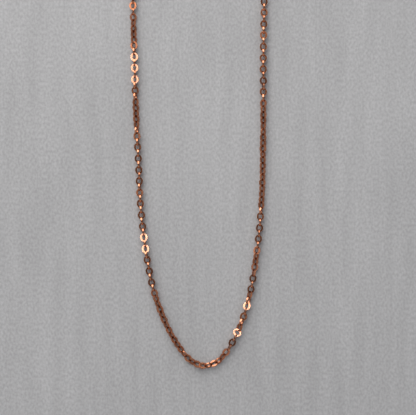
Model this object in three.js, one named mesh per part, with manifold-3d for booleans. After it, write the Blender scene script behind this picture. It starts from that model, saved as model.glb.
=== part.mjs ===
// Chain necklace: a flat oval cable chain of 215 links, with a lobster claw at one end and a ring at the
// other.
// Millimetres. The necklace lies face up on z = 0, its front at -Y, its undone closure at +Y.
// Links hang together in runs of five. Neighbouring runs are hooked link through link and swing on each
// other.
import * as THREE from 'three';
import Module from 'manifold-3d';
import { mergeVertices } from 'three/addons/utils/BufferGeometryUtils.js';

const wasm = await Module();
wasm.setup();

// ---- driving dimensions, mm ----
const linkLength = 3.0;
const linkWidth = 2.6;
const wireWidth = 0.5;            // seen face on, across the flattened wire at the two crowns
const sideWidth = 0.66;           // the same at the middle of the two sides, where it is pressed wider
const wireThickness = 0.52;       // through the flattened wire
const crownFlat = 1.5;            // straight stretch across a link's end, outside
const linksPerRun = 5;
const runsPerSide = 21;
const crownSeat = 0.05;           // how far two crowns bed into each other inside a run
const crownClearance = 0.12;      // free play between the crowns that run on each other
const hingeLean = 18;             // degrees that a hooked link leans along its neighbour's crown

const jumpRingRadius = 1.8;       // to the middle of the wire
const jumpRingWire = 0.6;
const endRingRadius = 2.1;        // to the middle of its flat wire
const endRingWidth = 0.8;
const endRingThickness = 0.7;
const ringClearance = 0.15;       // between a ring and what it passes through

const claspLength = 12.0;         // from the tail eye's end to the nose
const claspWidth = 6.0;
const claspThickness = 3.0;
const claspWall = 1.15;           // the claw's width round its opening
const eyeHoleRadius = 0.8;
const eyeWall = 0.8;
const eyeThickness = 1.0;
const leverThickness = 1.1;
const leverClearance = 0.1;       // to each cheek, to the nose and to the boss's seat
const leverBossRadius = 0.85;
const leverTabRadius = 0.75;
const pinRadius = 0.34;
const pinFit = 0.03;              // pin to cheek
const pinRunningFit = 0.06;       // pin to lever
const springThickness = 0.14;
const groundGap = 0.02;           // under a standing jump ring
const closureGap = 6.0;           // about, between the claw's nose and the end ring, undone

// ---- the route of the chain's middle line, seen from above, chosen by hand ----
const neckRadius = 23.4;          // half the distance between the strands behind the neck
const leftFront = [
  [-23.38, 25], [-22.95, 8.3], [-22.5, -8.7], [-22.05, -20.7], [-21.35, -33.7], [-20.75, -46.7],
  [-19.85, -56.7], [-18.75, -64.7], [-17.35, -72.7], [-15.55, -79.9], [-13.05, -87.1], [-9.85, -93.9],
  [-6.25, -99.6], [-2.75, -103.5],
];
const middleFront = [[1.55, -105.35]];
const rightFront = [
  [6.35, -104.15], [9.65, -100.7], [12.55, -96.1], [14.95, -90.8], [16.95, -84.9], [18.75, -77.7],
  [20.35, -67.7], [21.75, -55.7], [22.65, -42.7], [22.95, -28.7], [23.1, -12.7], [23.05, 5.3], [23.38, 25],
];

// How far the chain is turned about its own line, in degrees, as [link number from the middle, turn].
// At 0 the even links lie flat and the odd ones stand on edge, at 45 both lean, and at 90 they have changed
// places.
// The turn changes inside runs and not across a hinge. The last link lies flat, for the jump ring through it.
const lastLink = (linksPerRun - 1) / 2 + runsPerSide * linksPerRun;
const lastTurn = 90 * (lastLink % 2);
const leftTurns = [
  [0, 45], [14, 45], [17, 0], [43, 0], [46, 45], [50, 45], [52, 0], [58, 0], [61, 45], [63, 45],
  [67, lastTurn],
];
const rightTurns = [
  [0, 45], [3, 45], [6, 90], [9, 90], [12, 0], [14, 0], [17, 90], [19, 90], [22, 45], [23, 45], [25, 0],
  [29, 0], [32, 45], [49, 45], [52, 0], [68, 0], [72, lastTurn],
];

const RADIANS = Math.PI / 180;
const UP = new THREE.Vector3(0, 0, 1);
const crownReach = linkLength / 2 - wireWidth / 2;           // link centre to the middle of its crown wire
const pitchInRun = linkLength - 2 * wireWidth + crownSeat;
const pitchAtHinge = linkLength - 2 * wireWidth - crownClearance;

const roseGold = new THREE.MeshStandardMaterial({ color: 0xb0694c, roughness: 0.25, metalness: 1 });
const roseGoldCast = new THREE.MeshStandardMaterial({ color: 0xb87358, roughness: 0.3, metalness: 1 });
const springSteel = new THREE.MeshStandardMaterial({ color: 0xb9bcc0, roughness: 0.35, metalness: 1 });

// ---- solids ----
function solidOf(geometry) {
  const plain = geometry.index ? geometry.toNonIndexed() : geometry.clone();
  plain.deleteAttribute('normal');
  plain.deleteAttribute('uv');
  const merged = mergeVertices(plain, 1e-5);
  const mesh = new wasm.Mesh({
    numProp: 3,
    vertProperties: new Float32Array(merged.attributes.position.array),
    triVerts: new Uint32Array(merged.index.array),
  });
  return new wasm.Manifold(mesh);
}

function geometryOf(solid) {
  const mesh = solid.getMesh();
  const geometry = new THREE.BufferGeometry();
  geometry.setAttribute('position', new THREE.BufferAttribute(mesh.vertProperties, 3));
  geometry.setIndex(new THREE.BufferAttribute(mesh.triVerts, 1));
  geometry.computeVertexNormals();
  return geometry;
}

// A flat slab of a shape, its middle plane on z = 0.
function slab(shape, thickness, curveSegments = 6) {
  const geometry = new THREE.ExtrudeGeometry(shape, { depth: thickness, bevelEnabled: false, curveSegments });
  geometry.translate(0, 0, -thickness / 2);
  return geometry;
}

function block(xLow, xHigh, yLow, yHigh, thickness) {
  const geometry = new THREE.BoxGeometry(xHigh - xLow, yHigh - yLow, thickness);
  geometry.translate((xLow + xHigh) / 2, (yLow + yHigh) / 2, 0);
  return geometry;
}

function disc(x, y, radius, thickness, sides = 16) {
  const geometry = new THREE.CylinderGeometry(radius, radius, thickness, sides);
  geometry.rotateX(Math.PI / 2);
  geometry.translate(x, y, 0);
  return geometry;
}

// A six-sided oval, widest at its middle, as the points of a closed outline.
function sixSidedOval(length, width, flat) {
  const x = length / 2;
  const y = width / 2;
  return [[x, -flat / 2], [x, flat / 2], [0, y], [-x, flat / 2], [-x, -flat / 2], [0, -y]]
    .map(([px, py]) => new THREE.Vector2(px, py));
}

// One link: long way on X, flat in XY.
function linkGeometry() {
  const shape = new THREE.Shape(sixSidedOval(linkLength, linkWidth, crownFlat));
  const innerLength = linkLength - 2 * wireWidth;
  const innerWidth = linkWidth - 2 * sideWidth;
  shape.holes.push(new THREE.Path(sixSidedOval(innerLength, innerWidth, crownFlat - wireWidth)));
  return slab(shape, wireThickness);
}

// ---- how far the closure reaches past the last links ----
// A jump ring stands through the last link, which lies flat. Its middle comes this far past the link's crown.
const jumpRingHeight = jumpRingRadius + jumpRingWire / 2 + groundGap;
const dropToLink = jumpRingHeight - linkWidth / 2;
const wireAtLink = Math.sqrt(jumpRingRadius ** 2 - (dropToLink + wireThickness / 2) ** 2);
const slantedHalfWire = jumpRingWire / 2 * jumpRingRadius / wireAtLink;
const ringPastCrown = wireAtLink - slantedHalfWire - ringClearance - wireWidth / 2;

// How far from the ring's middle its far side clears what it passes through, at a height and of a thickness.
function clearInsideAt(height, thickness) {
  const drop = jumpRingHeight - height + thickness / 2;
  const wire = Math.sqrt(jumpRingRadius ** 2 - drop ** 2);
  return wire - jumpRingWire / 2 * jumpRingRadius / wire - ringClearance;
}

const claspHeight = claspThickness / 2;
const eyeRadius = eyeHoleRadius + eyeWall;
const eyeNearEdge = clearInsideAt(claspHeight, eyeThickness) - eyeWall;
const endRingOuter = endRingRadius + endRingWidth / 2;
const endRingHeight = linkWidth / 2;
const endRingMiddleWire = clearInsideAt(endRingHeight, endRingThickness) - endRingWidth / 2;
const closureLength = 2 * (crownReach + ringPastCrown) + eyeNearEdge + claspLength
  + endRingMiddleWire + 2 * endRingRadius + endRingWidth / 2 + closureGap;

// ---- places along the chain ----
// Distance along the route from the middle link to a link, by its number. Every fifth gap is a hinge.
function distanceTo(number) {
  const hinges = Math.floor((number + (linksPerRun - 1) / 2) / linksPerRun);
  return hinges * pitchAtHinge + (number - hinges) * pitchInRun;
}

// The route, with straight strands of a length between the front and the back arc. It passes its own start at
// the back, so that both ends of the chain have a way to point along.
const backArcDegrees = [-18, 0, 18, 36, 54, 72, 90];
const overrun = neckRadius * 18 * RADIANS;

function routeWith(neckStraight) {
  const backStart = leftFront[0][1] + neckStraight;
  const backArc = backArcDegrees.map((degrees) => {
    const angle = degrees * RADIANS;
    return [-neckRadius * Math.sin(angle), backStart + neckRadius * Math.cos(angle)];
  });
  const neckSide = [-neckRadius, backStart - neckStraight / 2];
  const mirrored = ([x, y]) => [-x, y];
  const points = [
    ...backArc, neckSide, ...leftFront, ...middleFront, ...rightFront, mirrored(neckSide),
    ...backArc.map(mirrored).reverse(),
  ];
  const curve = new THREE.CatmullRomCurve3(points.map(([x, y]) => new THREE.Vector3(x, y, 0)));
  curve.arcLengthDivisions = 2000;
  const middleShare = (backArc.length + 1 + leftFront.length) / (points.length - 1);
  const toMiddle = curve.getLengths()[Math.round(middleShare * curve.arcLengthDivisions)];
  return { curve, length: curve.getLength(), toMiddle };
}

// The straight strands take up what the chain and the closure need.
const firstStraight = 2 * neckRadius;
const loopLength = 2 * distanceTo(lastLink) + closureLength;
const firstLoop = routeWith(firstStraight).length - 2 * overrun;
const route = routeWith(firstStraight + (loopLength - firstLoop) / 2);

function turnAt(number, turns) {
  const next = turns.findIndex(([at]) => at > number);
  if (next < 0) return turns.at(-1)[1];
  const [low, lowTurn] = turns[next - 1];
  const [high, highTurn] = turns[next];
  return lowTurn + (highTurn - lowTurn) * (number - low) / (high - low);
}

// Half the height of a link turned about the chain's line, or of its neighbour if that is taller.
function heightAtTurn(turn) {
  const across = Math.abs(Math.cos(turn));
  const up = Math.abs(Math.sin(turn));
  return linkWidth / 2 * Math.max(across, up) + wireThickness / 2 * Math.min(across, up);
}

// A place on one side of the chain: position, direction away from the middle, and the way across.
function placeAt(side, distance) {
  const fraction = (route.toMiddle + side * distance) / route.length;
  const position = route.curve.getPointAt(fraction);
  const along = route.curve.getTangentAt(fraction).multiplyScalar(side).normalize();
  return { position, along, across: along.clone().cross(UP) };
}

// The same for a link, with the direction of its crown wires, which is its width.
function linkPlace(side, number) {
  const place = placeAt(side, distanceTo(number));
  const turn = (turnAt(number, side < 0 ? leftTurns : rightTurns) + 90 * (number % 2)) * RADIANS;
  place.position.setZ(heightAtTurn(turn));
  const crown = place.across.clone().multiplyScalar(Math.cos(turn)).addScaledVector(UP, Math.sin(turn));
  return { ...place, crown };
}

function linkMatrix({ position, along, crown }) {
  const matrix = new THREE.Matrix4().makeBasis(along, crown, along.clone().cross(crown));
  return matrix.setPosition(position);
}

// A hinge frame: its X axis is the hinge axis, and turning about it lifts what lies outward.
function hingeMatrix(position, axis, along) {
  const lift = axis.clone().cross(along).normalize();
  const outward = lift.clone().cross(axis);
  return new THREE.Matrix4().makeBasis(axis, outward, lift).setPosition(position);
}

// Two crowns meet at a hinge. The run turns on whichever of the two wires lies nearer to level.
function runHinge(side, innerNumber) {
  const inner = linkPlace(side, innerNumber);
  const outer = linkPlace(side, innerNumber + 1);
  const wires = [
    { ...inner, position: inner.position.clone().addScaledVector(inner.along, crownReach) },
    { ...outer, position: outer.position.clone().addScaledVector(outer.along, -crownReach) },
  ];
  const level = (wire) => Math.abs(wire.crown.dot(wire.across));
  const wire = level(wires[0]) >= level(wires[1]) ? wires[0] : wires[1];
  const axis = wire.crown.clone().multiplyScalar(Math.sign(wire.crown.dot(wire.across)));
  const lean = hingeLean * RADIANS;
  axis.multiplyScalar(Math.cos(lean)).addScaledVector(wire.along, Math.sin(lean)).normalize();
  return hingeMatrix(wire.position, axis, wire.along);
}

const necklace = new THREE.Group();

// Adds a mesh whose frame is placed by matrix, from geometry that is given in the necklace's frame.
function addPlaced(name, geometry, material, matrix) {
  geometry.applyMatrix4(matrix.clone().invert());
  const mesh = new THREE.Mesh(geometry, material);
  mesh.name = name;
  mesh.applyMatrix4(matrix);
  necklace.add(mesh);
}

// ---- the chain ----
function runSolid(links) {
  return links.map((place) => solidOf(linkGeometry().applyMatrix4(linkMatrix(place))))
    .reduce((whole, link) => whole.add(link));
}

const half = (linksPerRun - 1) / 2;
const frontLinks = [];
for (let number = -half; number <= half; number += 1) {
  frontLinks.push(linkPlace(number < 0 ? -1 : 1, Math.abs(number)));
}
addPlaced('front_run', geometryOf(runSolid(frontLinks)), roseGold, linkMatrix(frontLinks[half]));

for (const [side, sideName] of [[-1, 'left'], [1, 'right']]) {
  for (let run = 1; run <= runsPerSide; run += 1) {
    const inner = half + (run - 1) * linksPerRun;
    const links = [];
    for (let number = inner + 1; number <= inner + linksPerRun; number += 1) {
      links.push(linkPlace(side, number));
    }
    const name = `${sideName}_run_${String(run).padStart(2, '0')}`;
    addPlaced(name, geometryOf(runSolid(links)), roseGold, runHinge(side, inner));
  }
}

// ---- the closure ----
// Adds a jump ring that stands through the last link. Gives its middle, its direction away from that link,
// and the directions of what hangs on it: along points at the place on the route as far on as that piece is
// long.
function addJumpRing(name, side, hangingLength) {
  const link = linkPlace(side, lastLink);
  const crownMiddle = link.position.clone().addScaledVector(link.along, crownReach);
  const middle = crownMiddle.clone().addScaledVector(link.along, ringPastCrown).setZ(jumpRingHeight);
  const ring = new THREE.TorusGeometry(jumpRingRadius, jumpRingWire / 2, 6, 14);
  const stand = new THREE.Matrix4().makeBasis(link.along, UP, link.across).setPosition(middle);
  const swivel = new THREE.Matrix4().makeBasis(UP, link.along, link.across.clone().negate());
  addPlaced(name, ring.applyMatrix4(stand), roseGold, swivel.setPosition(crownMiddle));
  const farDistance = distanceTo(lastLink) + crownReach + ringPastCrown + hangingLength;
  const along = placeAt(side, farDistance).position.setZ(jumpRingHeight).sub(middle).normalize();
  return { middle, away: link.along, along, across: along.clone().cross(UP) };
}

// The claw in its own frame: the tail eye's middle at the origin, the nose on +X, flat in XY.
const noseX = claspLength - eyeRadius;
const clawMiddleX = (eyeHoleRadius + 0.5 * eyeWall + noseX) / 2;
const clawHalfLength = noseX - clawMiddleX;
const clawHalfWidth = claspWidth / 2;
const openingHalfLength = 0.53 * clawHalfLength;
const openingHalfWidth = clawHalfWidth - claspWall;
const openingX = noseX - claspWall - openingHalfLength;
const cheekEndX = openingX - openingHalfLength * 0.8;
const noseGapX = openingX + openingHalfLength * 0.72;
const mouthY = 0.35 * openingHalfWidth;
const pivotX = cheekEndX - leverBossRadius - 0.35;
const pivotY = clawHalfWidth * 0.42;
const slotFloorY = pivotY - leverBossRadius - 0.75;
const slotThickness = leverThickness + 2 * leverClearance;

function oval(x, y, halfLength, halfWidth) {
  const shape = new THREE.Shape();
  shape.absellipse(x, y, halfLength, halfWidth, 0, 2 * Math.PI, false, 0);
  return shape;
}

const clawOutline = (thickness) => solidOf(
  slab(oval(clawMiddleX, 0, clawHalfLength, clawHalfWidth), thickness, 14),
);
const clawOpening = () => solidOf(
  slab(oval(openingX, 0, openingHalfLength, openingHalfWidth), 2 * claspThickness, 9),
);

function claspBodySolid() {
  const neckHalf = eyeRadius * 0.75;
  const eye = solidOf(disc(0, 0, eyeRadius, eyeThickness, 18))
    .add(solidOf(block(0, eyeRadius + 1, -neckHalf, neckHalf, eyeThickness)));
  const eyeHole = solidOf(disc(0, 0, eyeHoleRadius, 2 * eyeThickness, 12));
  const mouth = solidOf(block(cheekEndX, noseGapX, mouthY, claspWidth, 2 * claspThickness));
  const slot = solidOf(
    block(pivotX - leverBossRadius - leverClearance, openingX, slotFloorY, claspWidth, slotThickness),
  );
  const pinHole = solidOf(disc(pivotX, pivotY, pinRadius + pinFit, 2 * claspThickness, 12));
  return clawOutline(claspThickness).add(eye)
    .subtract(clawOpening()).subtract(mouth).subtract(slot).subtract(eyeHole).subtract(pinHole);
}

function claspLeverSolid() {
  const armEnd = noseGapX - leverClearance;
  const arm = clawOutline(leverThickness).subtract(clawOpening())
    .intersect(solidOf(block(pivotX, armEnd, mouthY + leverClearance, claspWidth, leverThickness)));
  const boss = solidOf(disc(pivotX, pivotY, leverBossRadius, leverThickness, 16));
  const tabX = cheekEndX + leverTabRadius;
  const tab = solidOf(disc(tabX, clawHalfWidth * 0.92, leverTabRadius, leverThickness, 14));
  const pinHole = solidOf(disc(pivotX, pivotY, pinRadius + pinRunningFit, 2 * leverThickness, 12));
  return arm.add(boss).add(tab).subtract(pinHole);
}

// A bent leaf between the slot's floor and the lever's underside.
function leverSpringGeometry() {
  const low = slotFloorY + leverClearance / 2;
  const high = pivotY - leverBossRadius - leverClearance / 2;
  const left = pivotX - leverBossRadius;
  const right = cheekEndX - leverClearance;
  const shape = new THREE.Shape([
    new THREE.Vector2(left, high), new THREE.Vector2(left, low), new THREE.Vector2(right, low),
    new THREE.Vector2(right, low + springThickness),
    new THREE.Vector2(left + springThickness, low + springThickness),
    new THREE.Vector2(left + springThickness, high - springThickness),
    new THREE.Vector2(pivotX, high - springThickness), new THREE.Vector2(pivotX, high),
  ]);
  return slab(shape, leverThickness);
}

const claspRing = addJumpRing('clasp_jump_ring', -1, claspLength);
const eyeMiddle = claspRing.middle.clone()
  .addScaledVector(claspRing.away, eyeNearEdge + eyeRadius).setZ(claspHeight);
const claspFrame = new THREE.Matrix4()
  .makeBasis(claspRing.along, claspRing.across.clone().negate(), UP).setPosition(eyeMiddle);
const inClasp = (x, y) => new THREE.Vector3(x, y, 0).applyMatrix4(claspFrame);
const claspHinge = hingeMatrix(inClasp(-eyeHoleRadius - eyeWall / 2, 0), claspRing.across, claspRing.along);
// The lever's axis points down, so that turning about it presses the lever into the claw.
const leverHinge = new THREE.Matrix4()
  .makeBasis(UP.clone().negate(), claspRing.along, claspRing.across).setPosition(inClasp(pivotX, pivotY));

addPlaced('clasp_body', geometryOf(claspBodySolid()).applyMatrix4(claspFrame), roseGoldCast, claspHinge);
addPlaced('clasp_lever', geometryOf(claspLeverSolid()).applyMatrix4(claspFrame), roseGoldCast, leverHinge);
addPlaced(
  'clasp_lever_pin', disc(pivotX, pivotY, pinRadius, claspThickness, 12).applyMatrix4(claspFrame),
  roseGoldCast, leverHinge,
);
addPlaced('clasp_lever_spring', leverSpringGeometry().applyMatrix4(claspFrame), springSteel, leverHinge);

// The end ring hangs from its jump ring at one edge and rests on the surface at the other.
const endRing = addJumpRing('end_jump_ring', 1, 2 * endRingRadius);
const endRingTilt = Math.asin((endRingHeight - endRingThickness / 2) / (2 * endRingOuter));
const endRingPivot = endRing.middle.clone()
  .addScaledVector(endRing.away, endRingMiddleWire).setZ(endRingHeight);
const endRingHinge = hingeMatrix(endRingPivot, endRing.across, endRing.along);

function endRingGeometry() {
  const shape = oval(0, 0, endRingOuter, endRingOuter);
  const inside = endRingRadius - endRingWidth / 2;
  const hole = new THREE.Path();
  hole.absellipse(0, 0, inside, inside, 0, 2 * Math.PI, true, 0);
  shape.holes.push(hole);
  return slab(shape, endRingThickness, 10);
}

const tilted = new THREE.Matrix4().makeRotationX(-endRingTilt);
const fromPivot = new THREE.Matrix4().makeTranslation(0, endRingRadius, 0);
const endRingPlace = endRingHinge.clone().multiply(tilted).multiply(fromPivot);
addPlaced('end_ring', endRingGeometry().applyMatrix4(endRingPlace), roseGoldCast, endRingHinge);

export default necklace;
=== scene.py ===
"""A cable chain necklace in rose gold tone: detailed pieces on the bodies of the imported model.

Metres. The necklace lies face up on z = 0, its front at -Y and its undone closure at +Y.
"""

import logging
import math
import random
from bisect import bisect_left
from dataclasses import dataclass, field
from enum import Enum

import bmesh
import bpy
from mathutils import Matrix, Vector


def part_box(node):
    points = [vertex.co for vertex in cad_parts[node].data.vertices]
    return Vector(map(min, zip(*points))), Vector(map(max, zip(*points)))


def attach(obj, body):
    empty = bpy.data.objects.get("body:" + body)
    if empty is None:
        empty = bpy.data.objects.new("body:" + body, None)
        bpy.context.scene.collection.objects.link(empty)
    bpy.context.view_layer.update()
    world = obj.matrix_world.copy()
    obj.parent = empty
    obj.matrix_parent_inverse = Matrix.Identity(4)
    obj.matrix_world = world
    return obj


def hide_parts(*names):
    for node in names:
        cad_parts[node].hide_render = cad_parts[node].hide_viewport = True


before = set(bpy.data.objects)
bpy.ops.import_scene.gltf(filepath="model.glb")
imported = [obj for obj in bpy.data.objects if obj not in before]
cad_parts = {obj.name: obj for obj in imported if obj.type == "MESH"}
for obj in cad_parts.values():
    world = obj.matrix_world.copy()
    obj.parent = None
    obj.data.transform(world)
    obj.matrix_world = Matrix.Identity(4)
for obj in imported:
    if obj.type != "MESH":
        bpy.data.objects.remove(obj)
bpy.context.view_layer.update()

log = logging.getLogger("necklace")
MM = 0.001
UP = Vector((0.0, 0.0, 1.0))
# Stands an outline drawn in XY up in the XZ plane, ready to be spun about Z.
TIP_UP = Matrix.Rotation(math.radians(90), 3, "X")
Colour = tuple[float, float, float]
Point = tuple[float, float]
Place = tuple[float, float, float]


class Side(Enum):
    """One half of the necklace, counted outward from the middle link of its front."""

    LEFT = -1
    RIGHT = 1

    @property
    def label(self) -> str:
        """The word that the half's node and body names start with."""
        return self.name.lower()


# ---- finishes ----


@dataclass
class NodeTree:
    """Adds and joins shader nodes in a new material."""

    name: str

    def __post_init__(self) -> None:
        """Makes the material with one Principled shader."""
        self.material = bpy.data.materials.new(self.name)
        self.material.use_nodes = True
        self.tree = self.material.node_tree
        self.shader = self.tree.nodes["Principled BSDF"]

    def add(self, kind: str, **sockets: object) -> bpy.types.Node:
        """Adds a node.

        Args:
            kind: the node's type, without the ShaderNode prefix.
            **sockets: input values by socket name, with _ for a blank.

        Returns:
            The new node.
        """
        node = self.tree.nodes.new("ShaderNode" + kind)
        for key, value in sockets.items():
            node.inputs[key.replace("_", " ")].default_value = value
        return node

    def join(self, source: bpy.types.NodeSocket, target: bpy.types.NodeSocket) -> None:
        """Joins an output to an input."""
        self.tree.links.new(source, target)

    def object_point(self, stretch: Colour = (1.0, 1.0, 1.0)) -> bpy.types.NodeSocket:
        """The Object coordinate, stretched.

        Args:
            stretch: a factor for each axis.

        Returns:
            The output socket of the stretched coordinate.
        """
        mapping = self.add("Mapping", Scale=stretch)
        self.join(self.add("TexCoord").outputs["Object"], mapping.inputs["Vector"])
        return mapping.outputs["Vector"]

    def noise(
        self, scale: float, detail: float = 2.0, stretch: Colour = (1.0, 1.0, 1.0)
    ) -> bpy.types.NodeSocket:
        """Noise on the Object coordinate.

        Args:
            scale: cells in a metre.
            detail: octaves.
            stretch: a factor for each axis.

        Returns:
            The output socket of the noise, from 0 to 1.
        """
        noise = self.add("TexNoise", Scale=scale, Detail=detail)
        self.join(self.object_point(stretch), noise.inputs["Vector"])
        return noise.outputs["Fac"]

    def attribute(self, name: str) -> bpy.types.NodeSocket:
        """The output socket of a piece's own number attribute."""
        node = self.add("Attribute")
        node.attribute_name = name
        return node.outputs["Fac"]

    def ramp(
        self, value: bpy.types.NodeSocket, stops: list[tuple[float, Colour]]
    ) -> bpy.types.NodeSocket:
        """Colours a number.

        Args:
            value: the number's socket.
            stops: places from 0 to 1 with their colours.

        Returns:
            The output socket of the colour.
        """
        node = self.add("ValToRGB")
        bands = node.color_ramp.elements
        while len(bands) < len(stops):
            bands.new(0.5)
        for band, (place, colour) in zip(bands, stops):
            band.position = place
            band.color = (*colour, 1.0)
        self.join(value, node.inputs["Fac"])
        return node.outputs["Color"]

    def mixed(
        self, share: bpy.types.NodeSocket, first: bpy.types.NodeSocket, second: bpy.types.NodeSocket
    ) -> bpy.types.NodeSocket:
        """The colour between two colours, by a share from 0 to 1."""
        node = self.add("Mix")
        node.data_type = "RGBA"
        self.join(share, node.inputs["Factor"])
        colours = [s for s in node.inputs if s.type == "RGBA"]
        self.join(first, colours[0])
        self.join(second, colours[1])
        return next(s for s in node.outputs if s.type == "RGBA")

    def ranged(self, value: bpy.types.NodeSocket, low: float, high: float) -> bpy.types.NodeSocket:
        """A number from 0 to 1 carried to the range from low to high."""
        node = self.add("MapRange", To_Min=low, To_Max=high)
        self.join(value, node.inputs["Value"])
        return node.outputs["Result"]

    def bump(self, height: bpy.types.NodeSocket, strength: float, depth: float) -> None:
        """Raises the surface by a pattern.

        Args:
            height: the pattern's socket.
            strength: from 0 to 1.
            depth: the relief in metres.
        """
        node = self.add("Bump", Strength=strength, Distance=depth)
        self.join(height, node.inputs["Height"])
        self.join(node.outputs["Normal"], self.shader.inputs["Normal"])

    def set(self, **sockets: object) -> None:
        """Sets the shader's own sockets, by name with _ for a blank."""
        for key, value in sockets.items():
            self.shader.inputs[key.replace("_", " ")].default_value = value


@dataclass(frozen=True)
class PlatedMetal:
    """Rose gold plate over brass under a clear lacquer, with tarnish where nothing rubs it."""

    name: str
    bright: Colour
    warm: Colour
    tarnished: Colour
    roughness: Point
    drawn_lines: float
    lacquer: float

    def material(self) -> bpy.types.Material:
        """Builds the plate's material.

        Returns:
            A metal that reads the attributes tint and tarnish, each from 0 to 1.
        """
        nodes = NodeTree(self.name)
        clouds = nodes.noise(420.0, 3.0)
        patches = nodes.ramp(clouds, [(0.35, self.bright), (0.68, self.warm)])
        worn = nodes.ramp(nodes.attribute("tint"), [(0.0, self.bright), (1.0, self.warm)])
        plate = nodes.mixed(nodes.noise(1900.0, 2.0), patches, worn)
        dark = nodes.ramp(clouds, [(0.2, self.tarnished), (0.9, self.warm)])
        colour = nodes.mixed(nodes.attribute("tarnish"), plate, dark)
        nodes.join(colour, nodes.shader.inputs["Base Color"])
        smudge = nodes.ranged(nodes.noise(900.0, 4.0), *self.roughness)
        nodes.join(smudge, nodes.shader.inputs["Roughness"])
        scratches = nodes.noise(2600.0, 3.0, (1.0, 0.18, 1.0))
        nodes.bump(scratches, self.drawn_lines, 0.02 * MM)
        nodes.set(Metallic=1.0, Coat_Weight=self.lacquer, Coat_Roughness=0.06, Coat_IOR=1.5)
        return nodes.material


@dataclass(frozen=True)
class SpringSteel:
    """Bright rolled steel strip."""

    name: str = "spring_steel_strip"

    def material(self) -> bpy.types.Material:
        """Builds the strip's material."""
        nodes = NodeTree(self.name)
        grain = nodes.noise(3000.0, 3.0, (0.1, 1.0, 1.0))
        steel = nodes.ramp(grain, [(0.3, (0.46, 0.47, 0.49)), (0.7, (0.66, 0.66, 0.66))])
        nodes.join(steel, nodes.shader.inputs["Base Color"])
        nodes.join(nodes.ranged(grain, 0.22, 0.4), nodes.shader.inputs["Roughness"])
        nodes.bump(grain, 0.25, 0.01 * MM)
        nodes.set(Metallic=1.0)
        return nodes.material


@dataclass(frozen=True)
class PaintedBoard:
    """Flat pale grey paint with brush marks, for the surface that the necklace lies on."""

    name: str = "painted_board"
    pale: Colour = (0.50, 0.498, 0.503)
    deep: Colour = (0.30, 0.298, 0.30)

    def material(self) -> bpy.types.Material:
        """Builds the paint's material, with broad clouds, upright brush streaks and fine specks."""
        nodes = NodeTree(self.name)
        cloud = nodes.noise(24.0, 5.0, (1.0, 0.6, 1.0))
        streaks = nodes.noise(210.0, 4.0, (1.0, 0.12, 1.0))
        grain = nodes.noise(1300.0, 2.0, (1.0, 0.7, 1.0))
        broad = nodes.ramp(cloud, [(0.15, self.deep), (0.85, self.pale)])
        brushed = nodes.ramp(streaks, [(0.25, self.deep), (0.75, self.pale)])
        fine = nodes.ramp(grain, [(0.32, self.deep), (0.68, self.pale)])
        paint = nodes.mixed(nodes.ranged(cloud, 0.35, 0.6), broad, brushed)
        speckled = nodes.mixed(nodes.ranged(streaks, 0.3, 0.6), paint, fine)
        nodes.join(speckled, nodes.shader.inputs["Base Color"])
        nodes.bump(grain, 0.5, 0.15 * MM)
        nodes.set(Roughness=0.86, Specular_IOR_Level=0.25)
        return nodes.material


@dataclass(frozen=True)
class Finishes:
    """One material of each finish, shared by the pieces that have it."""

    wire: bpy.types.Material
    cast: bpy.types.Material
    steel: bpy.types.Material


# ---- mesh tools ----


def merged(bm: bmesh.types.BMesh, distance: float = 1e-7) -> None:
    """Merges doubles and turns all faces outwards.

    Args:
        bm: the mesh, changed in place.
        distance: points closer than this become one.
    """
    bmesh.ops.remove_doubles(bm, verts=bm.verts, dist=distance)
    bmesh.ops.recalc_face_normals(bm, faces=bm.faces)


def spun(bm: bmesh.types.BMesh, axis: Vector, turn: float, steps: int) -> None:
    """Spins everything in a mesh about an axis through the origin.

    Args:
        bm: the mesh, which holds an outline.
        axis: the axis' direction.
        turn: the angle. A full turn closes on itself.
        steps: segments.
    """
    bmesh.ops.spin(
        bm,
        geom=bm.verts[:] + bm.edges[:],
        axis=axis,
        cent=(0.0, 0.0, 0.0),
        angle=turn,
        steps=steps,
        use_merge=turn >= 2 * math.pi,
    )


def marked(bm: bmesh.types.BMesh, name: str, value: float) -> None:
    """Gives every point of a mesh the same number in an attribute."""
    layer = bm.verts.layers.float.get(name) or bm.verts.layers.float.new(name)
    for vert in bm.verts:
        vert[layer] = value


def aged(bm: bmesh.types.BMesh, tint: float, tarnish: float) -> None:
    """Gives a whole mesh one tint and one tarnish, each from 0 to 1."""
    marked(bm, "tint", tint)
    marked(bm, "tarnish", tarnish)


def crisp(bm: bmesh.types.BMesh, degrees: float) -> None:
    """Shades a mesh smoothly, with a sharp line where two faces meet at more than an angle."""
    limit = math.radians(degrees)
    for face in bm.faces:
        face.smooth = True
    for edge in bm.edges:
        edge.smooth = len(edge.link_faces) != 2 or edge.calc_face_angle(0.0) < limit


def frame_of(position: Vector, along: Vector, across: Vector) -> Matrix:
    """The matrix of a right-handed frame.

    Args:
        position: its origin.
        along: its X axis.
        across: its Y axis.

    Returns:
        The matrix from the frame to the world.
    """
    third = along.cross(across)
    matrix = Matrix((along, across, third)).transposed().to_4x4()
    matrix.translation = position
    return matrix


@dataclass
class Piece:
    """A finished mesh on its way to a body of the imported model."""

    name: str
    body: str
    node: str
    slot: str
    material: bpy.types.Material

    def finish(self, bm: bmesh.types.BMesh) -> bpy.types.Object:
        """Makes the object, in place of its CAD node.

        Args:
            bm: the mesh in the necklace's own frame, freed afterwards.

        Returns:
            The object, riding on its body.
        """
        mesh = bpy.data.meshes.new(self.name)
        bm.to_mesh(mesh)
        bm.free()
        mesh.materials.append(self.material)
        piece = bpy.data.objects.new(self.name, mesh)
        bpy.context.scene.collection.objects.link(piece)
        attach(piece, self.body)
        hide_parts(self.node)
        log.info("%s rides on %s, %d faces", self.name, self.body, len(mesh.polygons))
        return piece


# ---- the route ----


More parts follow.
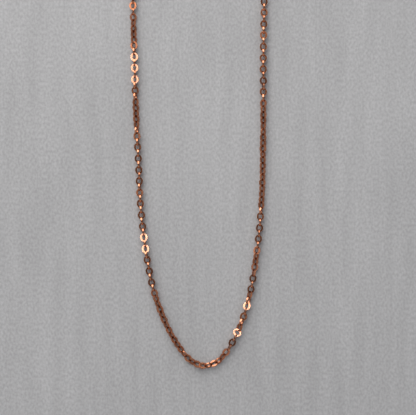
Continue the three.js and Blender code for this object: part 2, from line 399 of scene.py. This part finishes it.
@dataclass
class Route:
    """The middle line of the chain seen from above: a centripetal Catmull-Rom curve, in mm."""

    neck_radius: float = 23.4
    overrun_degrees: float = 18.0
    divisions: int = 2000
    back_arc: tuple[float, ...] = (-18.0, 0.0, 18.0, 36.0, 54.0, 72.0, 90.0)
    left_front: tuple[Point, ...] = (
        (-23.38, 25), (-22.95, 8.3), (-22.5, -8.7), (-22.05, -20.7), (-21.35, -33.7), (-20.75, -46.7),
        (-19.85, -56.7), (-18.75, -64.7), (-17.35, -72.7), (-15.55, -79.9), (-13.05, -87.1), (-9.85, -93.9),
        (-6.25, -99.6), (-2.75, -103.5),
    )
    middle_front: tuple[Point, ...] = ((1.55, -105.35),)
    right_front: tuple[Point, ...] = (
        (6.35, -104.15), (9.65, -100.7), (12.55, -96.1), (14.95, -90.8), (16.95, -84.9), (18.75, -77.7),
        (20.35, -67.7), (21.75, -55.7), (22.65, -42.7), (22.95, -28.7), (23.1, -12.7), (23.05, 5.3),
        (23.38, 25),
    )

    def lay(self, loop_length: float) -> None:
        """Sets the strands' straight stretch so that the loop has a length.

        Args:
            loop_length: once round, in mm.
        """
        first = 2 * self.neck_radius
        self._measure(first)
        overrun = self.neck_radius * math.radians(self.overrun_degrees)
        self._measure(first + (loop_length - (self.length - 2 * overrun)) / 2)

    def _measure(self, straight: float) -> None:
        """Sets out the points with a straight stretch, and measures the curve through them."""
        start = self.left_front[0][1] + straight
        arc = [
            (-self.neck_radius * math.sin(a), start + self.neck_radius * math.cos(a))
            for a in map(math.radians, self.back_arc)
        ]
        side = (-self.neck_radius, start - straight / 2)
        half = [*arc, side]
        mirrored = [(-x, y) for x, y in reversed(half)]
        rows = [*half, *self.left_front, *self.middle_front, *self.right_front, *mirrored]
        self.points = [Vector((x, y, 0.0)) for x, y in rows]
        self.reached = [0.0]
        last = self._point(0.0)
        for step in range(1, self.divisions + 1):
            here = self._point(step / self.divisions)
            self.reached.append(self.reached[-1] + (here - last).length)
            last = here
        self.length = self.reached[-1]
        share = (len(half) + len(self.left_front)) / (len(rows) - 1)
        self.to_middle = self.reached[round(share * self.divisions)]

    def _point(self, share: float) -> Vector:
        """The curve's point at a share of its spans."""
        points = self.points
        place = share * (len(points) - 1)
        span = min(int(place), len(points) - 2)
        weight = place - span
        p1, p2 = points[span], points[span + 1]
        p0 = points[span - 1] if span > 0 else 2 * p1 - p2
        p3 = points[span + 2] if span + 2 < len(points) else 2 * p2 - p1
        gap0, gap1, gap2 = (math.sqrt((b - a).length) for a, b in ((p0, p1), (p1, p2), (p2, p3)))
        slope1 = ((p1 - p0) / gap0 - (p2 - p0) / (gap0 + gap1) + (p2 - p1) / gap1) * gap1
        slope2 = ((p2 - p1) / gap1 - (p3 - p1) / (gap1 + gap2) + (p3 - p2) / gap2) * gap1
        square, cube = weight**2, weight**3
        return (
            p1 * (2 * cube - 3 * square + 1)
            + slope1 * (cube - 2 * square + weight)
            + p2 * (3 * square - 2 * cube)
            + slope2 * (cube - square)
        )

    def place(self, side: Side, distance: float) -> tuple[Vector, Vector]:
        """A place on one side of the chain.

        Args:
            side: the side.
            distance: mm from the middle link.

        Returns:
            The point in mm, and the unit direction away from the middle.
        """
        target = self.to_middle + side.value * distance
        after = bisect_left(self.reached, target)
        before = after - 1
        part = (target - self.reached[before]) / (self.reached[after] - self.reached[before])
        share = (before + part) / self.divisions
        step = 1e-4
        direction = (self._point(share + step) - self._point(share - step)).normalized()
        return self._point(share), direction * side.value


# ---- the chain ----


@dataclass
class ChainLink:
    """One flat-faced oval link, soldered shut. Sizes in metres, the sharp angle in degrees."""

    length: float = 3.0 * MM
    width: float = 2.6 * MM
    wire_width: float = 0.5 * MM
    side_width: float = 0.66 * MM
    wire_thickness: float = 0.52 * MM
    steps: int = 16
    sharp_from: float = 38.0

    def mesh(self) -> bmesh.types.BMesh:
        """Builds the link, long way on X, flat in XY, its middle at the origin.

        Returns:
            A closed ring of flat wire, with tarnish painted on its inner side.
        """
        bm = bmesh.new()
        bmesh.ops.create_circle(bm, cap_ends=False, radius=math.sqrt(0.5), segments=4)
        bmesh.ops.rotate(bm, verts=bm.verts, matrix=Matrix.Rotation(math.radians(45), 3, "Z"))
        bmesh.ops.rotate(bm, verts=bm.verts, matrix=TIP_UP)
        bmesh.ops.scale(bm, verts=bm.verts, vec=(self.wire_width, 1.0, self.wire_thickness))
        middle = (self.width - self.wire_width) / 2
        bmesh.ops.translate(bm, verts=bm.verts, vec=(middle, 0.0, 0.0))
        spun(bm, UP, 2 * math.pi, self.steps)
        merged(bm)
        tarnish = bm.verts.layers.float.new("tarnish")
        longer = (self.length - self.width) / 2
        wider = self.side_width - self.wire_width
        for vert in bm.verts:
            reach = math.hypot(vert.co.x, vert.co.y)
            crown, side = abs(vert.co.x) / reach, abs(vert.co.y) / reach
            inward = max(0.0, (self.width / 2 - reach) / self.wire_width)
            vert[tarnish] = inward**2 * (0.5 + 0.5 * crown)
            vert.co.y -= math.copysign(inward * wider * side, vert.co.y)
            vert.co.x += longer * vert.co.x / reach
        crisp(bm, self.sharp_from)
        return bm


@dataclass
class Chain:
    """The cable chain: 215 links in 43 runs of five. Its own lengths in mm, turns and plays in degrees.

    lamp and eye are the places of the small lamp and of the camera, in metres.
    """

    route: Route
    finishes: Finishes
    lamp: Vector
    eye: Vector
    link: ChainLink = field(default_factory=ChainLink)
    links_per_run: int = 5
    runs_per_side: int = 21
    crown_seat: float = 0.05
    crown_clearance: float = 0.12
    closure_length: float = 26.93
    roll_play: float = 5.5
    pitch_play: float = 2.5
    bright_links: frozenset[tuple[Side, int]] = frozenset(
        {(Side.LEFT, 24), (Side.LEFT, 26), (Side.LEFT, 54), (Side.LEFT, 56), (Side.LEFT, 58)}
        | {(Side.RIGHT, 9), (Side.RIGHT, 14)}
    )
    left_turns: tuple[Point, ...] = (
        (0, 45), (14, 45), (17, 0), (43, 0), (46, 45), (50, 45), (52, 0), (58, 0), (61, 45), (63, 45),
        (67, 90),
    )
    right_turns: tuple[Point, ...] = (
        (0, 45), (3, 45), (6, 90), (9, 90), (12, 0), (14, 0), (17, 90), (19, 90), (22, 45), (23, 45),
        (25, 0), (29, 0), (32, 45), (49, 45), (52, 0), (68, 0), (72, 90),
    )

    def __post_init__(self) -> None:
        """Works out the link numbers and lays the route to the chain's length."""
        self.half_run = (self.links_per_run - 1) // 2
        self.last_link = self.half_run + self.runs_per_side * self.links_per_run
        self.play = random.Random(7)
        self.route.lay(2 * self.distance_to(self.last_link) + self.closure_length)

    def distance_to(self, number: int) -> float:
        """Distance in mm along the route from the middle link to a link. Every fifth gap is a hinge."""
        inside = (self.link.length - 2 * self.link.wire_width) / MM
        hinges = (number + self.half_run) // self.links_per_run
        return hinges * (inside - self.crown_clearance) + (number - hinges) * (inside + self.crown_seat)

    def turn_at(self, side: Side, number: int) -> float:
        """The chain's turn about its own line at a link, in degrees."""
        turns = self.left_turns if side is Side.LEFT else self.right_turns
        after = next((n for n, (at, _) in enumerate(turns) if at > number), None)
        if after is None:
            return turns[-1][1]
        (low, low_turn), (high, high_turn) = turns[after - 1], turns[after]
        return low_turn + (high_turn - low_turn) * (number - low) / (high - low)

    def link_matrix(self, side: Side, number: int) -> Matrix:
        """Where a link lies.

        Args:
            side: the side of the chain.
            number: the link's number from the middle.

        Returns:
            The matrix in metres, with X along the chain away from the middle and Y along the crown wires.
        """
        point, along = self.route.place(side, self.distance_to(number))
        turn = math.radians(self.turn_at(side, number) + 90 * (number % 2))
        level, upright = abs(math.cos(turn)), abs(math.sin(turn))
        wide, thick = self.link.width / 2, self.link.wire_thickness / 2
        height = wide * max(level, upright) + thick * min(level, upright)
        crown = along.cross(UP) * math.cos(turn) + UP * math.sin(turn)
        return frame_of(point * MM + UP * height, along, crown)

    def played(self, matrix: Matrix) -> Matrix:
        """A link's matrix with the small roll and pitch that its play in the next links lets it take."""
        roll = Matrix.Rotation(math.radians(self.play.gauss(0.0, self.roll_play)), 4, "X")
        pitch = Matrix.Rotation(math.radians(self.play.gauss(0.0, self.pitch_play)), 4, "Y")
        return matrix @ roll @ pitch

    def catching(self, matrix: Matrix) -> Matrix:
        """A flat link's matrix, leant so that its upper face throws the small lamp's light up."""
        place = matrix.translation
        half = ((self.lamp - place).normalized() + (self.eye - place).normalized()).normalized()
        face = matrix.to_3x3().col[2] * -1
        lean = face.rotation_difference(half).to_matrix().to_4x4()
        return Matrix.Translation(place) @ lean @ Matrix.Translation(-place) @ matrix

    def add_link(self, run: bmesh.types.BMesh, side: Side, number: int) -> None:
        """Adds one link to a run, with a tint and a small lean of its own, not sunk into the board.

        The last link of a side keeps its true place, so that the jump ring clears it.

        Args:
            run: the run's mesh.
            side: the side of the chain.
            number: the link's number from the middle.
        """
        bm = self.link.mesh()
        marked(bm, "tint", self.play.random())
        matrix = self.link_matrix(side, number)
        leant = self.played(matrix)
        if (side, number) in self.bright_links:
            leant = self.catching(matrix)
        elif number == self.last_link:
            leant = matrix
        bmesh.ops.transform(bm, verts=bm.verts, matrix=leant)
        sunk = min(vert.co.z for vert in bm.verts)
        if sunk < 0:
            bmesh.ops.translate(bm, verts=bm.verts, vec=UP * -sunk)
        mesh = bpy.data.meshes.new("link")
        bm.to_mesh(mesh)
        bm.free()
        run.from_mesh(mesh)
        bpy.data.meshes.remove(mesh)

    def build_run(self, name: str, places: list[tuple[Side, int]]) -> None:
        """Builds one run of links on its own body.

        Args:
            name: the run's node and body.
            places: side and number of each link.
        """
        run = bmesh.new()
        for side, number in places:
            self.add_link(run, side, number)
        low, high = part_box(name)
        middle = sum((v.co for v in run.verts), Vector()) / len(run.verts)
        log.info("%s is %.2f mm off its node", name, (middle - (low + high) / 2).length / MM)
        Piece(f"{name}_links", name, name, "rose_gold_wire", self.finishes.wire).finish(run)

    def build(self) -> None:
        """Builds all the runs, from the front to both ends."""
        middle = [
            (Side.LEFT if n < 0 else Side.RIGHT, abs(n)) for n in range(-self.half_run, self.half_run + 1)
        ]
        self.build_run("front_run", middle)
        for side in Side:
            for run in range(1, self.runs_per_side + 1):
                first = self.half_run + (run - 1) * self.links_per_run + 1
                numbers = range(first, first + self.links_per_run)
                self.build_run(f"{side.label}_run_{run:02d}", [(side, n) for n in numbers])


# ---- the closure ----


@dataclass
class JumpRing:
    """A round wire ring, cut once and pressed shut, standing through the last link."""

    side: Side
    name: str
    radius: float = 1.8 * MM
    wire: float = 0.56 * MM
    cut: float = 0.05 * MM
    cut_rim: float = 0.05 * MM
    cut_rim_from: float = 60.0
    cut_tip: float = 0.6
    steps: int = 48
    wire_sides: int = 16
    tint: float = 0.35
    tarnish: float = 0.08
    sharp_from: float = 50.0

    def build(self, chain: Chain) -> None:
        """Builds the ring on its body.

        Args:
            chain: gives the direction of the last link.
        """
        bm = bmesh.new()
        bmesh.ops.create_circle(bm, cap_ends=False, radius=self.wire / 2, segments=self.wire_sides)
        bmesh.ops.rotate(bm, verts=bm.verts, matrix=TIP_UP)
        bmesh.ops.translate(bm, verts=bm.verts, vec=(self.radius, 0.0, 0.0))
        spun(bm, UP, 2 * math.pi - self.cut / self.radius, self.steps)
        bmesh.ops.holes_fill(bm, edges=[e for e in bm.edges if e.is_boundary], sides=0)
        rims = [e for e in bm.edges if e.calc_face_angle(0.0) > math.radians(self.cut_rim_from)]
        bmesh.ops.bevel(
            bm, geom=rims, offset=self.cut_rim, affect="EDGES", segments=2, profile=0.5, material=-1
        )
        merged(bm)
        aged(bm, self.tint, self.tarnish)
        crisp(bm, self.sharp_from)
        low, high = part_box(self.name)
        along = chain.link_matrix(self.side, chain.last_link).to_3x3().col[0].normalized()
        # The cut faces up and away from the link.
        cut_way = (UP + along * self.cut_tip).normalized()
        stand = frame_of((low + high) / 2, cut_way, (along - UP * self.cut_tip).normalized())
        bmesh.ops.transform(bm, verts=bm.verts, matrix=stand)
        Piece(f"{self.name}_wire", self.name, self.name, "rose_gold_wire", chain.finishes.wire).finish(bm)


@dataclass
class EndRing:
    """The closed flat ring that the claw hooks into, with rounded rims."""

    finishes: Finishes
    name: str = "end_ring"
    radius: float = 2.1 * MM
    width: float = 0.8 * MM
    thickness: float = 0.7 * MM
    rim: float = 0.2 * MM
    steps: int = 64
    tint: float = 0.2
    tarnish: float = 0.05
    sharp_from: float = 60.0

    def build(self) -> None:
        """Builds the ring in the plane of its CAD node's widest face."""
        bm = bmesh.new()
        bmesh.ops.create_grid(bm, x_segments=1, y_segments=1, size=0.5)
        bmesh.ops.scale(bm, verts=bm.verts, vec=(self.width, self.thickness, 1.0))
        bmesh.ops.bevel(
            bm, geom=bm.verts[:], offset=self.rim, affect="VERTICES", segments=3, profile=0.5, material=-1
        )
        bmesh.ops.delete(bm, geom=bm.faces[:], context="FACES_ONLY")
        bmesh.ops.rotate(bm, verts=bm.verts, matrix=TIP_UP)
        bmesh.ops.translate(bm, verts=bm.verts, vec=(self.radius, 0.0, 0.0))
        spun(bm, UP, 2 * math.pi, self.steps)
        merged(bm)
        aged(bm, self.tint, self.tarnish)
        crisp(bm, self.sharp_from)
        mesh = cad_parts[self.name].data
        widest = max(mesh.polygons, key=lambda p: p.area)
        low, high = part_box(self.name)
        lie = widest.normal.to_track_quat("Z", "Y").to_matrix().to_4x4()
        lie.translation = (low + high) / 2
        bmesh.ops.transform(bm, verts=bm.verts, matrix=lie)
        Piece("end_ring_casting", self.name, self.name, "rose_gold_cast", self.finishes.cast).finish(bm)


@dataclass
class LobsterClasp:
    """The sprung claw: a casting with two cheeks, its lever, their pin and the lever's leaf spring."""

    finishes: Finishes
    body: str = "clasp"
    rim: float = 0.32 * MM
    lever_rim: float = 0.16 * MM
    leaf_rim: float = 0.03 * MM
    head_height: float = 0.05 * MM
    head_rim: float = 0.12 * MM
    pin_radius: float = 0.34 * MM
    pin_sides: int = 24
    rounded_from: float = 40.0
    cast_tint: float = 0.15
    cast_tarnish: float = 0.05
    cast_sharp_from: float = 35.0
    pin_tint: float = 0.8
    pin_tarnish: float = 0.2
    pin_sharp_from: float = 50.0

    def cast_copy(self, node: str, rim: float) -> bmesh.types.BMesh:
        """A CAD node's shape with its flat faces whole and its edges rounded.

        Args:
            node: the CAD node.
            rim: the rounding in metres.

        Returns:
            The rounded mesh.
        """
        bm = bmesh.new()
        bm.from_mesh(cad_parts[node].data)
        bmesh.ops.remove_doubles(bm, verts=bm.verts, dist=1e-7)
        bmesh.ops.dissolve_limit(bm, angle_limit=math.radians(1.0), verts=bm.verts, edges=bm.edges)
        edges = [e for e in bm.edges if e.calc_face_angle(0.0) > math.radians(self.rounded_from)]
        bmesh.ops.bevel(
            bm, geom=edges, offset=rim, affect="EDGES", segments=3, profile=0.5, material=-1,
            clamp_overlap=True,
        )
        merged(bm)
        aged(bm, self.cast_tint, self.cast_tarnish)
        crisp(bm, self.cast_sharp_from)
        return bm

    def build_body(self) -> None:
        """Builds the claw's casting."""
        bm = self.cast_copy("clasp_body", self.rim)
        Piece("clasp_casting", self.body, "clasp_body", "rose_gold_cast", self.finishes.cast).finish(bm)

    def build_lever(self) -> None:
        """Builds the lever that closes the claw."""
        bm = self.cast_copy("clasp_lever", self.lever_rim)
        lever = "clasp_lever"
        Piece("clasp_thumb_lever", lever, lever, "rose_gold_cast", self.finishes.cast).finish(bm)

    def build_pin(self) -> None:
        """Builds the lever's pin, with its two ends peened to low domes."""
        low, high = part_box("clasp_lever_pin")
        bm = bmesh.new()
        bmesh.ops.create_cone(
            bm, cap_ends=True, segments=self.pin_sides, radius1=self.pin_radius,
            radius2=self.pin_radius, depth=high.z - low.z,
        )
        caps = [f for f in bm.faces if abs(f.normal.z) > 0.9]
        for cap in caps:
            outward = cap.normal.copy()
            bmesh.ops.inset_region(bm, faces=[cap], thickness=self.head_rim, depth=0.0)
            bmesh.ops.translate(bm, verts=cap.verts[:], vec=outward * self.head_height)
        merged(bm)
        aged(bm, self.pin_tint, self.pin_tarnish)
        crisp(bm, self.pin_sharp_from)
        bmesh.ops.translate(bm, verts=bm.verts, vec=(low + high) / 2)
        rivet = Piece(
            "clasp_lever_rivet", self.body, "clasp_lever_pin", "rose_gold_cast", self.finishes.cast
        )
        rivet.finish(bm)

    def build_spring(self) -> None:
        """Builds the leaf spring under the lever."""
        bm = self.cast_copy("clasp_lever_spring", self.leaf_rim)
        leaf = Piece(
            "clasp_leaf_spring", self.body, "clasp_lever_spring", "spring_steel", self.finishes.steel
        )
        leaf.finish(bm)

    def build(self) -> None:
        """Builds every piece of the clasp."""
        self.build_body()
        self.build_lever()
        self.build_pin()
        self.build_spring()


# ---- the studio ----


@dataclass
class Studio:
    """The board under the necklace, the lamps and the camera."""

    view_middle: Place = (0.00338, -0.0490, 0.0)
    view_width: float = 0.1486
    lens: float = 100.0
    sensor: float = 36.0
    board_size: float = 4.0
    window_place: Place = (-0.30, 0.56, 0.48)
    lamp_place: Place = (-0.0565, 0.24, 0.60)
    sky: tuple[Point, ...] = ((0.0, 0.3), (0.35, 0.46), (0.65, 0.72), (0.88, 0.27), (1.0, 0.12))
    sky_tint: Colour = (0.95, 0.96, 1.0)

    def build_board(self) -> None:
        """Lays the painted board."""
        bm = bmesh.new()
        bmesh.ops.create_grid(bm, x_segments=2, y_segments=2, size=self.board_size / 2)
        mesh = bpy.data.meshes.new("board")
        bm.to_mesh(mesh)
        bm.free()
        mesh.materials.append(PaintedBoard().material())
        board = bpy.data.objects.new("board", mesh)
        bpy.context.scene.collection.objects.link(board)

    def add_lamp(self, name: str, place: Place, size: float, power: float, colour: Colour) -> None:
        """Hangs a square soft lamp that faces the middle of the view.

        Args:
            name: the lamp's name.
            place: its middle.
            size: the length of its side.
            power: watts.
            colour: its tint.
        """
        light = bpy.data.lights.new(name, "AREA")
        light.size = size
        light.energy = power
        light.color = colour
        lamp = bpy.data.objects.new(name, light)
        lamp.location = place
        aim = Vector(self.view_middle) - Vector(place)
        lamp.rotation_mode = "QUATERNION"
        lamp.rotation_quaternion = aim.to_track_quat("-Z", "Y")
        bpy.context.scene.collection.objects.link(lamp)

    def build_lamps(self) -> None:
        """Hangs the large window lamp and the small lamp that some links catch."""
        self.add_lamp("window", self.window_place, 0.9, 8.6, (1.0, 0.985, 0.965))
        self.add_lamp("small_lamp", self.lamp_place, 0.07, 0.16, (1.0, 0.97, 0.92))

    def build_surround(self) -> None:
        """Makes the room's own light: dim above, where the camera is, and brighter towards the walls."""
        world = bpy.data.worlds.new("surround")
        world.use_nodes = True
        nodes = world.node_tree.nodes
        links = world.node_tree.links
        height = nodes.new("ShaderNodeSeparateXYZ")
        links.new(nodes.new("ShaderNodeTexCoord").outputs["Generated"], height.inputs["Vector"])
        ramp = nodes.new("ShaderNodeValToRGB")
        while len(ramp.color_ramp.elements) < len(self.sky):
            ramp.color_ramp.elements.new(0.5)
        for band, (place, strength) in zip(ramp.color_ramp.elements, self.sky):
            band.position = place
            band.color = (*(strength * part for part in self.sky_tint), 1.0)
        links.new(height.outputs["Z"], ramp.inputs["Fac"])
        links.new(ramp.outputs["Color"], nodes["Background"].inputs["Color"])
        bpy.context.scene.world = world

    @property
    def eye(self) -> Vector:
        """The camera's place, straight above the middle of the view."""
        return Vector(self.view_middle) + UP * (self.view_width * self.lens / self.sensor)

    def build_camera(self) -> None:
        """Sets the camera straight above, looking down, with +Y up in the view."""
        data = bpy.data.cameras.new("camera")
        data.lens = self.lens
        data.sensor_width = self.sensor
        data.clip_start = 0.005
        camera = bpy.data.objects.new("camera", data)
        camera.location = self.eye
        bpy.context.scene.collection.objects.link(camera)
        bpy.context.scene.camera = camera
        bpy.context.scene.view_settings.view_transform = "Standard"

    def build(self) -> None:
        """Sets up the whole studio."""
        self.build_camera()
        self.build_board()
        self.build_lamps()
        self.build_surround()


def main() -> None:
    """Builds the necklace and its studio in order."""
    logging.basicConfig(level=logging.INFO, format="%(name)s: %(message)s")
    studio = Studio()
    studio.build()
    wire = PlatedMetal(
        name="rose_gold_wire_plate",
        bright=(0.62, 0.26, 0.135),
        warm=(0.46, 0.16, 0.07),
        tarnished=(0.12, 0.028, 0.012),
        roughness=(0.19, 0.33),
        drawn_lines=0.25,
        lacquer=0.5,
    )
    cast = PlatedMetal(
        name="rose_gold_cast_plate",
        bright=(0.68, 0.34, 0.21),
        warm=(0.52, 0.23, 0.13),
        tarnished=(0.16, 0.05, 0.03),
        roughness=(0.16, 0.28),
        drawn_lines=0.15,
        lacquer=0.6,
    )
    finishes = Finishes(wire.material(), cast.material(), SpringSteel().material())
    chain = Chain(Route(), finishes, Vector(studio.lamp_place), studio.eye)
    chain.build()
    JumpRing(Side.LEFT, "clasp_jump_ring").build(chain)
    LobsterClasp(finishes).build()
    JumpRing(Side.RIGHT, "end_jump_ring").build(chain)
    EndRing(finishes).build()


if __name__ == "__main__":
    main()
